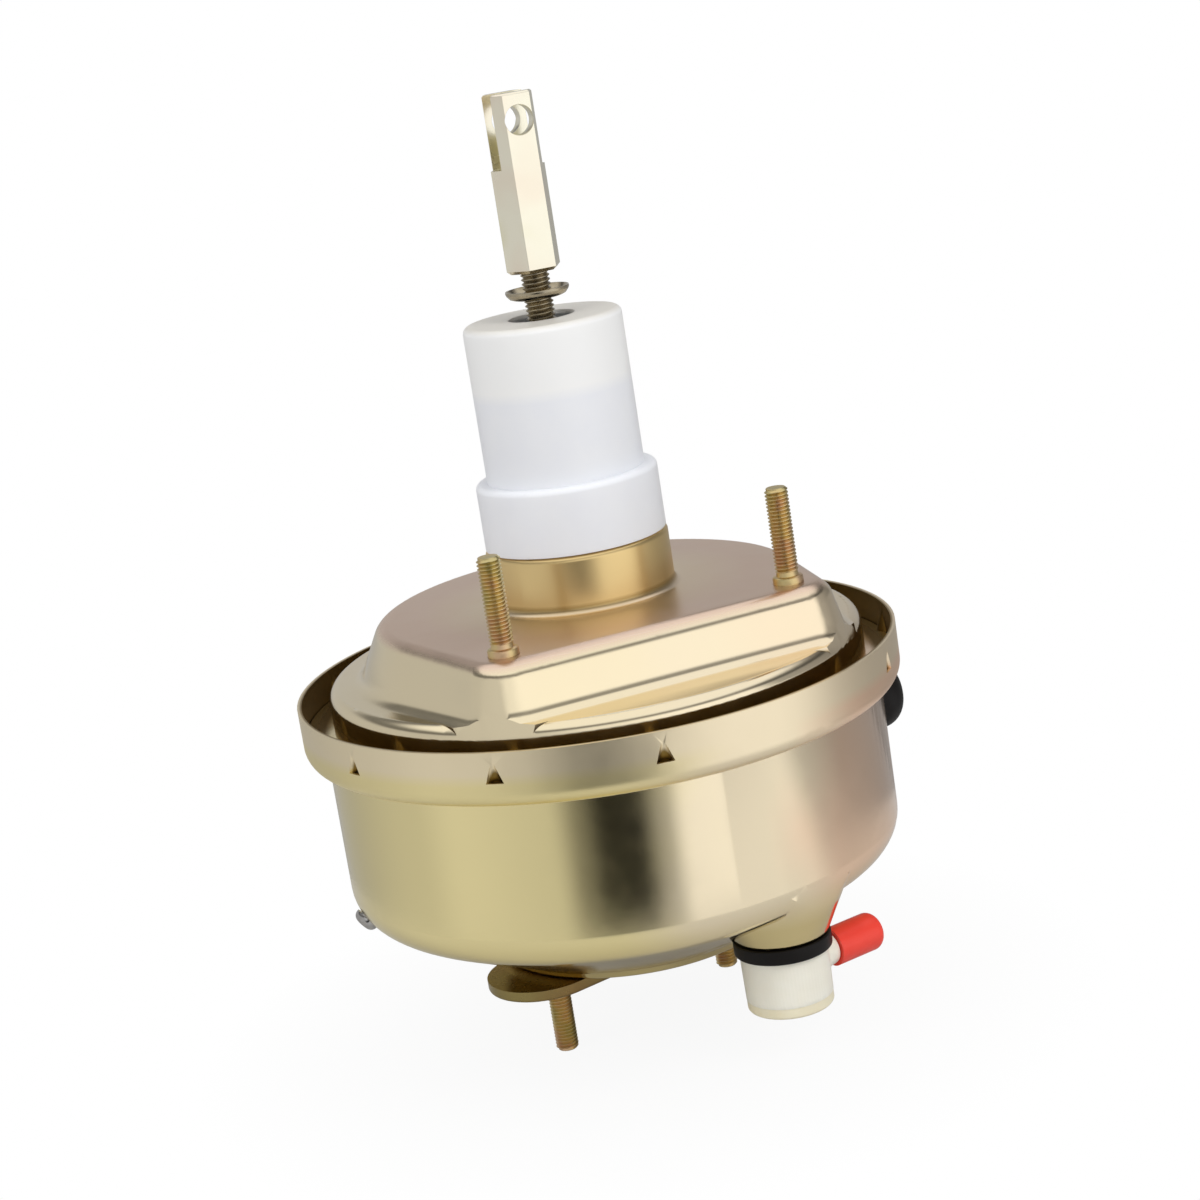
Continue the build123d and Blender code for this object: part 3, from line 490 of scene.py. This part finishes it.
def spin_profile(bm, points, steps=96, centre=(0.0, 0.0), closed=False):
    """Turns a half profile of (radius, height) points in millimetres round a vertical axis."""
    verts = [bm.verts.new((centre[0] + r * MM, centre[1], z * MM)) for r, z in points]
    edges = [bm.edges.new(pair) for pair in zip(verts, verts[1:])]
    if closed:
        edges.append(bm.edges.new((verts[-1], verts[0])))
    bmesh.ops.spin(
        bm, geom=verts + edges, cent=(centre[0], centre[1], 0.0), axis=(0.0, 0.0, 1.0),
        angle=2 * math.pi, steps=steps, use_merge=True, use_duplicate=False,
    )
    bmesh.ops.remove_doubles(bm, verts=bm.verts, dist=MERGE)


def soften(bm, width_mm):
    """Rounds every edge of a bmesh that turns more than the bevel angle."""
    sharp = [e for e in bm.edges if len(e.link_faces) == 2 and e.calc_face_angle() > BEVEL_ANGLE]
    bmesh.ops.bevel(
        bm, geom=sharp, offset=width_mm * MM, offset_type="OFFSET", affect="EDGES",
        segments=3, profile=0.5, material=-1, clamp_overlap=True,
    )


def threaded_bar(bm, centre, low, high, major, pitch, chamfer_top=LEAD_IN, chamfer_low=0.0):
    """A vertical bar with a rolled 60 degree thread, closed at both ends, in millimetres."""
    part = bmesh.new()
    root = major - THREAD_DEPTH * pitch
    turns = math.ceil((high - low) / pitch) + 2
    start = low - pitch
    x, y = centre
    outline = [(root, 0.0), (major, THREAD_CREST[0]), (major, THREAD_CREST[1]), (root, 1.0)]
    verts = [part.verts.new((x + r * MM, y, (start + t * pitch) * MM)) for r, t in outline]
    edges = [part.edges.new(pair) for pair in zip(verts, verts[1:])]
    bmesh.ops.spin(
        part, geom=verts + edges, cent=(x, y, 0.0), axis=(0.0, 0.0, 1.0),
        dvec=(0.0, 0.0, pitch * MM / THREAD_SIDES), angle=2 * math.pi * turns,
        steps=THREAD_SIDES * turns, use_merge=False, use_duplicate=False,
    )
    bmesh.ops.remove_doubles(part, verts=part.verts, dist=2 * MERGE)
    for level, up in ((low, -1.0), (high, 1.0)):
        geometry = part.verts[:] + part.edges[:] + part.faces[:]
        bmesh.ops.bisect_plane(
            part, geom=geometry, plane_co=(x, y, level * MM), plane_no=(0.0, 0.0, up), clear_outer=True
        )
    # the lead-in of each end narrows the crests
    for vert in part.verts:
        radius = math.hypot(vert.co.x - x, vert.co.y - y)
        height = vert.co.z / MM
        limit = major
        if chamfer_top:
            limit = min(limit, major - max(0.0, height - (high - chamfer_top)))
        if chamfer_low:
            limit = min(limit, major - max(0.0, (low + chamfer_low) - height))
        if radius > limit * MM:
            scale = limit * MM / radius
            vert.co.x = x + (vert.co.x - x) * scale
            vert.co.y = y + (vert.co.y - y) * scale
    open_edges = [edge for edge in part.edges if edge.is_boundary]
    bmesh.ops.holes_fill(part, edges=open_edges, sides=0)
    bmesh.ops.recalc_face_normals(part, faces=part.faces)
    mesh = bpy.data.meshes.new("thread")
    part.to_mesh(mesh)
    part.free()
    bm.from_mesh(mesh)
    bpy.data.meshes.remove(mesh)


def stud_pair(name, material, centres, thread, outline):
    """Two studs in one piece: a thread each, and a plain profile for head, shank and core."""
    bm = bmesh.new()
    for centre in centres:
        threaded_bar(bm, centre, *thread)
        spin_profile(bm, outline, STUD_SIDES, centre)
    return finish_mesh(bm, name, material)


def merged_copy(node, name, material, body, bevel_mm=0.0):
    """A CAD node's shape with its triangles merged, so that it shades smoothly; it replaces the node.

    A piece that bends between two bodies gets no body here."""
    bm = bmesh.new()
    bm.from_mesh(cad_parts[node].data)
    bmesh.ops.remove_doubles(bm, verts=bm.verts, dist=MERGE)
    if bevel_mm:
        bmesh.ops.dissolve_limit(
            bm, angle_limit=PLANE_ANGLE, verts=bm.verts, edges=bm.edges, use_dissolve_boundaries=False
        )
        soften(bm, bevel_mm)
    piece = finish_mesh(bm, name, material, bevel_mm > 0)
    if body:
        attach(piece, body)
    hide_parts(node)
    return piece


def dress(material, *nodes):
    """Gives CAD nodes their finish in every material slot."""
    for node in nodes:
        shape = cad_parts[node]
        if not shape.data.materials:
            shape.data.materials.append(material)
        for index in range(len(shape.data.materials)):
            shape.data.materials[index] = material
        for holder in shape.material_slots:
            holder.material = material


# ---- settings ----
def colour_prop(label, description, default):
    """A hex colour that a user can change."""
    return bpy.props.StringProperty(name=label, description=description, default=default)


class BoosterFinish(bpy.types.PropertyGroup):
    """Colours of the finishes and sizes of the threads."""

    zinc_pale: colour_prop("Zinc straw", "Main colour of the passivated zinc", "F2E3C4")
    zinc_green: colour_prop("Zinc green", "Greenish parts of the zinc film", "F0E1A9")
    zinc_rose: colour_prop("Zinc rose", "Rosy parts of the zinc film", "F8D6B8")
    plateau_rose: colour_prop("Plateau rose", "Duller colour of the flat plateau", "E9CEB9")
    neck_gold: colour_prop("Neck gold", "Deeper colour of the drawn neck", "EBCF94")
    # partly the film's olive, partly painted shade on the downward-facing cone
    cone_olive_shade: colour_prop("Cone olive", "Olive zinc of the drawn cone", "D9C78E")
    # painted shade: the plate under the nose is darkened
    plate_painted_shade: colour_prop("Plate brown", "Brownish zinc of the plate under the nose", "94794E")
    # painted shade inside the rolled rim
    trough_painted_shade: colour_prop("Trough", "Dark oily zinc inside the rolled rim", "8C7440")
    clevis_cream: colour_prop("Clevis cream", "Pale passivated zinc of the clevis", "F8F3DF")
    stud_brass: colour_prop("Stud brass", "Brassy zinc of the studs", "DCC48E")
    cap_white: colour_prop("Cap white", "Transit cap where it is empty", "F4F4F3")
    # painted shade where the tube shows through the cap
    cap_tube_shade: colour_prop("Cap blue", "Transit cap over the tube", "E9EBF1")
    red: colour_prop("Nipple cap red", "Soft red polyethylene", "FB4A39")
    nylon: colour_prop("Nylon", "Natural white nylon of the check valve", "F7F4E8")
    cream: colour_prop("Cover cream", "Cream nylon of the valve's cover", "F3ECD3")
    stud_pitch: bpy.props.FloatProperty(
        name="Stud pitch", description="Pitch of the M8 studs, in millimetres",
        default=1.25, min=0.5, max=2.0,
    )
    rod_pitch: bpy.props.FloatProperty(
        name="Rod pitch", description="Pitch of the M10 push rod, in millimetres",
        default=1.5, min=0.5, max=2.0,
    )


class BoosterStudio(bpy.types.PropertyGroup):
    """Camera and light of the small studio."""

    lens_mm: bpy.props.FloatProperty(
        name="Lens", description="Focal length on a 36 mm sensor", default=79.9, min=20.0, max=200.0
    )
    tent_level: bpy.props.FloatProperty(
        name="Tent level", description="Brightness of the light tent", default=1.12, min=0.0, max=4.0
    )


# ---- operators ----
class BOOSTER_OT_shells(bpy.types.Operator):
    """Dresses the two pressed shells and the plate under the nose"""

    bl_idname = "booster.shells"
    bl_label = "Shells"

    def execute(self, context):
        props = context.scene.booster_finish
        zinc = shell_zinc(props)
        merged_copy("rear_shell", "rear_shell_skin", zinc, "housing")
        merged_copy("front_shell", "front_shell_skin", zinc, "housing")
        # the plate's film colours are darkened as painted shade, for the plate lies under the nose
        plate_zinc = chromated_zinc("yellow_zinc_plate", props.plate_painted_shade, "9A8A58", "8E6F50", 0.26)
        merged_copy("master_cylinder_plate", "nose_plate", plate_zinc, "housing")
        return {"FINISHED"}


class BOOSTER_OT_studs(bpy.types.Operator):
    """Threads the four mounting studs, with the rear pair's plain collars"""

    bl_idname = "booster.studs"
    bl_label = "Studs"

    def execute(self, context):
        props = context.scene.booster_finish
        brass = chromated_zinc("brassy_zinc_stud", props.stud_brass, "CFC08A", "D9B892", 0.34, 9.0)
        head_top = REAR_HEAD_Z + HEAD_THICK
        core_top = REAR_THREAD_Z + CORE_LAP
        # head inside the shell, shank through it, rounded collar and plain neck outside
        outline = [
            (0.0, REAR_HEAD_Z), (HEAD_R - HEAD_EDGE, REAR_HEAD_Z), (HEAD_R, REAR_HEAD_Z + HEAD_EDGE),
            (HEAD_R, head_top), (COLLAR_R, head_top), (COLLAR_R, 1.8), (5.0, 2.3), (SHANK_R, 2.5),
            (3.9, 2.7), (CORE_R, core_top), (0.0, core_top),
        ]
        centres = [(side * REAR_STUD_X, REAR_STUD_Y) for side in (-1, 1)]
        thread = (REAR_THREAD_Z, node_high("rear_studs").z / MM, STUD_R, props.stud_pitch)
        piece = stud_pair("rear_stud_pair", brass, centres, thread, outline)
        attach(piece, "housing")
        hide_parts("rear_studs")

        head = node_high("front_studs").z / MM
        outline = [
            (0.0, head), (HEAD_R - HEAD_EDGE, head), (HEAD_R, head - HEAD_EDGE),
            (HEAD_R, head - HEAD_THICK), (SHANK_R, head - HEAD_THICK), (SHANK_R, FRONT_FACE_Z),
            (STUD_R, FRONT_FACE_Z), (CORE_R, FRONT_CORE_Z), (0.0, FRONT_CORE_Z),
        ]
        across = FRONT_STUD_REACH * MM * math.cos(FRONT_LINE)
        along = FRONT_STUD_REACH * MM * math.sin(FRONT_LINE)
        centres = [(side * across, side * along) for side in (-1, 1)]
        foot = node_low("front_studs").z / MM
        thread = (foot, FRONT_THREAD_Z, STUD_R, props.stud_pitch, 0.0, LEAD_IN)
        piece = stud_pair("front_stud_pair", brass, centres, thread, outline)
        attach(piece, "housing")
        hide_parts("front_studs")
        return {"FINISHED"}


class BOOSTER_OT_rod(bpy.types.Operator):
    """Makes the threaded push rod and its dished washer, and dresses the output rod and the plunger"""

    bl_idname = "booster.rod"
    bl_label = "Push rod"

    def execute(self, context):
        props = context.scene.booster_finish
        dark = plain_steel("oiled_rod_steel", "C9BC9E", 0.24)
        bm = bmesh.new()
        top = node_high("input_rod").z / MM
        threaded_bar(bm, (0.0, 0.0), ROD_THREAD_Z, top, ROD_THREAD_R, props.rod_pitch)
        turns = [math.radians(a) for a in range(0, BALL_END, BALL_STEP)]
        outline = [(BALL_R * math.sin(turn), BALL_Z - BALL_R * math.cos(turn)) for turn in turns]
        # the neck above the ball, the collar that holds the spring, and the core of the thread
        core_top = ROD_THREAD_Z + CORE_LAP
        outline += [
            (4.0, 8.5), (ROD_R, 10.0), (ROD_R, 46.0), (7.0, 46.0), (7.2, 46.2), (7.2, 47.8), (7.0, 48.0),
            (ROD_R, 48.0), (ROD_R, 87.0), (4.1, core_top), (0.0, core_top),
        ]
        spin_profile(bm, outline, 64)
        piece = finish_mesh(bm, "push_rod", dark)
        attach(piece, "input_rod")
        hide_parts("input_rod")

        low = node_low("rod_washer").z / MM
        bm = bmesh.new()
        # a flat land round the rod, then the dish up to its turned edge
        outline = [
            (WASHER_BORE_R, low), (8.4, low), (9.7, low + 0.5), (10.7, low + 1.7), (11.0, low + 2.4),
            (10.9, low + 3.1), (10.4, low + 3.1), (9.3, low + 1.7), (8.3, low + 1.2),
            (WASHER_BORE_R, low + 1.2),
        ]
        spin_profile(bm, outline, closed=True)
        washer = plain_steel("tempered_washer_steel", "D2C4A4", 0.2)
        piece = finish_mesh(bm, "dished_washer", washer)
        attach(piece, "input_rod")
        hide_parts("rod_washer")
        dress(dark, "output_rod", "output_rod_tip", "valve_plunger")
        return {"FINISHED"}


class BOOSTER_OT_clevis(bpy.types.Operator):
    """Dresses the hexagonal clevis, with its broken edges"""

    bl_idname = "booster.clevis"
    bl_label = "Clevis"

    def execute(self, context):
        props = context.scene.booster_finish
        cream = chromated_zinc("pale_zinc_clevis", props.clevis_cream, "EFEACB", "F6EAD6", 0.24, 30.0)
        merged_copy("clevis", "hex_clevis", cream, "clevis", 0.35)
        return {"FINISHED"}


class BOOSTER_OT_check_valve(bpy.types.Operator):
    """Dresses the check valve with its red nipple cap, and every rubber piece"""

    bl_idname = "booster.check_valve"
    bl_label = "Check valve"

    def execute(self, context):
        props = context.scene.booster_finish
        rubber = moulded("black_moulded_rubber", "080606", "110D0B", 0.46, 0.0, 5.0, 0.1, specular=0.22)
        nylon = moulded("natural_nylon", props.nylon, "EEEADB", 0.33, 0.25)
        cream = moulded("cream_nylon", props.cream, "EADFBE", 0.36, 0.2)
        red = moulded("soft_red_polyethylene", props.red, "EE3D2E", 0.38, 0.15)
        merged_copy("check_valve_grommet", "valve_grommet", rubber, "housing", 0.5)
        merged_copy("check_valve_body", "valve_housing", nylon, "housing", 0.3)
        merged_copy("check_valve_cover", "valve_cover", cream, "housing")
        merged_copy("nipple_cap", "red_nipple_cap", red, "nipple_cap")
        merged_copy("side_plug", "side_rubber_plug", rubber, "housing")
        dress(
            rubber, "check_valve_disc", "rear_seal", "output_rod_seal", "reaction_disc", "poppet_valve"
        )
        dress(nylon, "seal_bearing_ring")
        # the disc inside the roll goes with the piston, the roll and the bead stay in the shell; so the
        # diaphragm gets no body here, and its place is baked into its mesh
        skin = merged_copy("diaphragm", "rolling_diaphragm", rubber, None)
        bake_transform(skin)
        return {"FINISHED"}


class BOOSTER_OT_caps(bpy.types.Operator):
    """Dresses the milky transit cap and the white valve body that shows through it"""

    bl_idname = "booster.caps"
    bl_label = "Transit cap"

    def execute(self, context):
        props = context.scene.booster_finish
        milky = milky_polyethylene(props)
        merged_copy("transit_cap", "milky_transit_cap", milky, "transit_cap")
        body = moulded("valve_body_nylon", "F1F0EC", "E8E6E0", 0.4, 0.2)
        merged_copy("valve_body", "white_valve_body", body, "piston")
        return {"FINISHED"}


class BOOSTER_OT_inner(bpy.types.Operator):
    """Dresses the springs, pressings and filter inside, and the bright shoulder button"""

    bl_idname = "booster.inner"
    bl_label = "Inner pieces"

    def execute(self, context):
        steel = plain_steel("drawn_spring_steel", "A9AAAD", 0.3)
        dress(
            steel, "diaphragm_plate", "diaphragm_retainer", "retaining_key", "poppet_retainer",
            "poppet_spring",
        )
        # two springs, which shorten between the pieces that they push on, get meshes of their own; the
        # rod's spring, which leans with the rod, gets no body and its place is baked into its mesh
        spring = merged_copy("return_spring", "piston_spring", steel, "housing")
        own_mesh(spring)
        spring = merged_copy("check_valve_spring", "valve_spring", steel, "housing")
        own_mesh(spring)
        spring = merged_copy("rod_return_spring", "rod_spring", steel, None)
        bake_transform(spring)
        felt = moulded("needled_grey_felt", "8B877F", "76726B", 0.9, 0.0, 2.0, 0.6)
        foam = moulded("open_cell_foam", "35363A", "26272A", 0.95, 0.0, 1.5, 0.9)
        dress(felt, "silencer")
        dress(foam, "air_filter")
        bright = plain_steel("nickel_plated_button", "E4E6EA", 0.14)
        merged_copy("shoulder_button", "bright_button", bright, "housing")
        return {"FINISHED"}


class BOOSTER_OT_stage(bpy.types.Operator):
    """Sets the camera, the pale floor, the light tent and two soft lamps"""

    bl_idname = "booster.stage"
    bl_label = "Stage"

    def execute(self, context):
        props = context.scene.booster_studio
        scene = context.scene
        scene.view_settings.view_transform = "Standard"
        self.make_camera(scene, props)
        self.make_world(scene)
        self.make_tent(props)
        self.make_floor()
        self.make_lamps(scene)
        return {"FINISHED"}

    @staticmethod
    def make_camera(scene, props):
        """A long lens in front and a little above, rolled so that the booster leans to the left."""
        place = Vector(CAMERA_PLACE) * MM
        target = Vector(CAMERA_TARGET) * MM
        back = (place - target).normalized()
        right = Vector((0.0, 0.0, 1.0)).cross(back).normalized()
        up = back.cross(right)
        rolled_right = right * math.cos(CAMERA_ROLL) + up * math.sin(CAMERA_ROLL)
        rolled_up = up * math.cos(CAMERA_ROLL) - right * math.sin(CAMERA_ROLL)
        turn = Matrix((rolled_right, rolled_up, back)).transposed()
        camera = bpy.data.cameras.new("camera")
        camera.lens = props.lens_mm
        camera.sensor_width = 36.0
        camera.clip_end = 20.0
        holder = bpy.data.objects.new("camera", camera)
        holder.matrix_world = Matrix.Translation(place) @ turn.to_4x4()
        scene.collection.objects.link(holder)
        scene.camera = holder

    @staticmethod
    def make_world(scene):
        """White for the camera, for mirrors and for clear pieces, plain soft light for the rest."""
        world = bpy.data.worlds.new("studio")
        world.use_nodes = True
        scene.world = world
        tree = world.node_tree
        back = next(node for node in tree.nodes if node.type == "BACKGROUND")
        path = add_node(tree, "ShaderNodeLightPath")
        seen = add_math(tree, "ADD", (path, "Is Camera Ray"), (path, "Is Glossy Ray"), clamp=True)
        seen = add_math(tree, "ADD", (seen, "Value"), (path, "Is Transmission Ray"), clamp=True)
        level = spread(tree, (seen, "Value"), WORLD_LIGHT, 1.0, 0.0, 1.0)
        back.inputs["Color"].default_value = (1.0, 1.0, 1.0, 1.0)
        feed(tree, back, {"Strength": (level, "Result")})

    @staticmethod
    def make_tent(props):
        """A round light tent, unseen by the camera, with soft panels and the dark gaps between them."""
        bm = bmesh.new()
        bmesh.ops.create_uvsphere(bm, u_segments=64, v_segments=32, radius=TENT_R)
        bmesh.ops.reverse_faces(bm, faces=bm.faces)
        material, tree = bare_material("tent_cloth")
        coords = (add_node(tree, "ShaderNodeTexCoord"), "Object")
        turned = add_node(
            tree, "ShaderNodeMapping", {}, {"Vector": coords, "Rotation": (0.0, 0.0, CAMERA_SIDE)}
        )
        place = add_node(tree, "ShaderNodeSeparateXYZ", {}, {"Vector": (turned, "Vector")})
        angle = add_math(tree, "ARCTAN2", (place, "Y"), (place, "X"))
        around = spread(tree, (angle, "Value"), 0.0, 1.0, -math.pi, math.pi)
        height = spread(tree, (place, "Z"), 0.0, 1.0, -TENT_R, TENT_R)
        low_wall = add_ramp(tree, (around, "Result"), LOW_WALL)
        high_wall = add_ramp(tree, (around, "Result"), HIGH_WALL)
        rise = spread(tree, (height, "Result"), 0.0, 1.0, *WALL_CHANGE)
        wall = mix_colour(tree, (rise, "Result"), (low_wall, "Color"), (high_wall, "Color"))
        seam = add_ramp(tree, (height, "Result"), SEAM)
        roof = spread(tree, (height, "Result"), 0.0, 1.0, *ROOF_START)
        panels = mix_colour(tree, (roof, "Result"), (wall, MIX_RESULT), ROOF_GREY)
        cloth = mix_colour(tree, 1.0, (panels, MIX_RESULT), (seam, "Color"), "MULTIPLY")
        glow = add_node(
            tree, "ShaderNodeEmission", {}, {"Color": (cloth, MIX_RESULT), "Strength": props.tent_level}
        )
        add_node(tree, "ShaderNodeOutputMaterial", {}, {"Surface": (glow, "Emission")})
        tent = link_mesh(bm, "light_tent", material)
        tent.visible_camera = False
        tent.visible_shadow = False

    @staticmethod
    def make_floor():
        """A round white table under the front studs, whose edge fades into the white ground."""
        level = cad_box[0][2] - TABLE_GAP * MM
        bm = bmesh.new()
        bmesh.ops.create_circle(bm, cap_ends=True, segments=96, radius=TABLE_R)
        bmesh.ops.translate(bm, verts=bm.verts, vec=(0.0, 0.0, level))
        material, tree = bare_material("white_table")
        path = add_node(tree, "ShaderNodeLightPath")
        coords = (add_node(tree, "ShaderNodeTexCoord"), "Object")
        reach = add_node(tree, "ShaderNodeVectorMath", {"operation": "LENGTH"}, {0: coords})
        # the shadow stays near the booster and is gone before the table's edge
        fade = [share * TABLE_R for share in TABLE_FADE]
        white = spread(tree, (reach, "Value"), *TABLE_WHITE, *fade)
        seen = add_math(tree, "MULTIPLY", (path, "Is Camera Ray"), (white, "Result"))
        mirrored = add_math(
            tree, "ADD", (path, "Is Glossy Ray"), (path, "Is Transmission Ray"), clamp=True
        )
        share = add_math(
            tree, "MULTIPLY_ADD", (mirrored, "Value"), TABLE_MIRRORED, (seen, "Value"), clamp=True
        )
        paint = add_node(tree, "ShaderNodeBsdfDiffuse", {}, {"Color": to_linear(TABLE_GREY)})
        glow = add_node(tree, "ShaderNodeEmission", {}, {"Strength": 1.0})
        cover = add_node(
            tree, "ShaderNodeMixShader", {},
            {0: (share, "Value"), 1: (paint, "BSDF"), 2: (glow, "Emission")},
        )
        add_node(tree, "ShaderNodeOutputMaterial", {}, {"Surface": (cover, "Shader")})
        table = link_mesh(bm, "round_table", material)

    @staticmethod
    def make_lamps(scene):
        """A large soft key from the upper right of the camera and a weaker fill from the left."""
        for name, place, size, power in LAMPS:
            light = bpy.data.lights.new(name, "AREA")
            light.shape = "DISK"
            light.size = size
            light.energy = power
            lamp = bpy.data.objects.new(name, light)
            lamp.location = place
            lamp.rotation_euler = Vector(place).to_track_quat("Z", "Y").to_euler()
            lamp.visible_glossy = False
            scene.collection.objects.link(lamp)


class BOOSTER_PT_panel(bpy.types.Panel):
    """Lists the booster's steps and settings in the sidebar"""

    bl_idname = "BOOSTER_PT_panel"
    bl_label = "Brake booster"
    bl_space_type = "VIEW_3D"
    bl_region_type = "UI"
    bl_category = "Booster"

    def draw(self, context):
        for step in STEPS:
            self.layout.operator(step.bl_idname)
        for settings in (context.scene.booster_finish, context.scene.booster_studio):
            for name in settings.__annotations__:
                self.layout.prop(settings, name)


STEPS = (
    BOOSTER_OT_shells, BOOSTER_OT_studs, BOOSTER_OT_rod, BOOSTER_OT_clevis, BOOSTER_OT_check_valve,
    BOOSTER_OT_caps, BOOSTER_OT_inner, BOOSTER_OT_stage,
)
CLASSES = (BoosterFinish, BoosterStudio, *STEPS, BOOSTER_PT_panel)


def register():
    for cls in CLASSES:
        bpy.utils.register_class(cls)
    bpy.types.Scene.booster_finish = bpy.props.PointerProperty(type=BoosterFinish)
    bpy.types.Scene.booster_studio = bpy.props.PointerProperty(type=BoosterStudio)


def unregister():
    del bpy.types.Scene.booster_studio
    del bpy.types.Scene.booster_finish
    for cls in reversed(CLASSES):
        bpy.utils.unregister_class(cls)


def main():
    register()
    for step in STEPS:
        group, name = step.bl_idname.split(".")
        getattr(getattr(bpy.ops, group), name)()


if __name__ == "__main__":
    main()
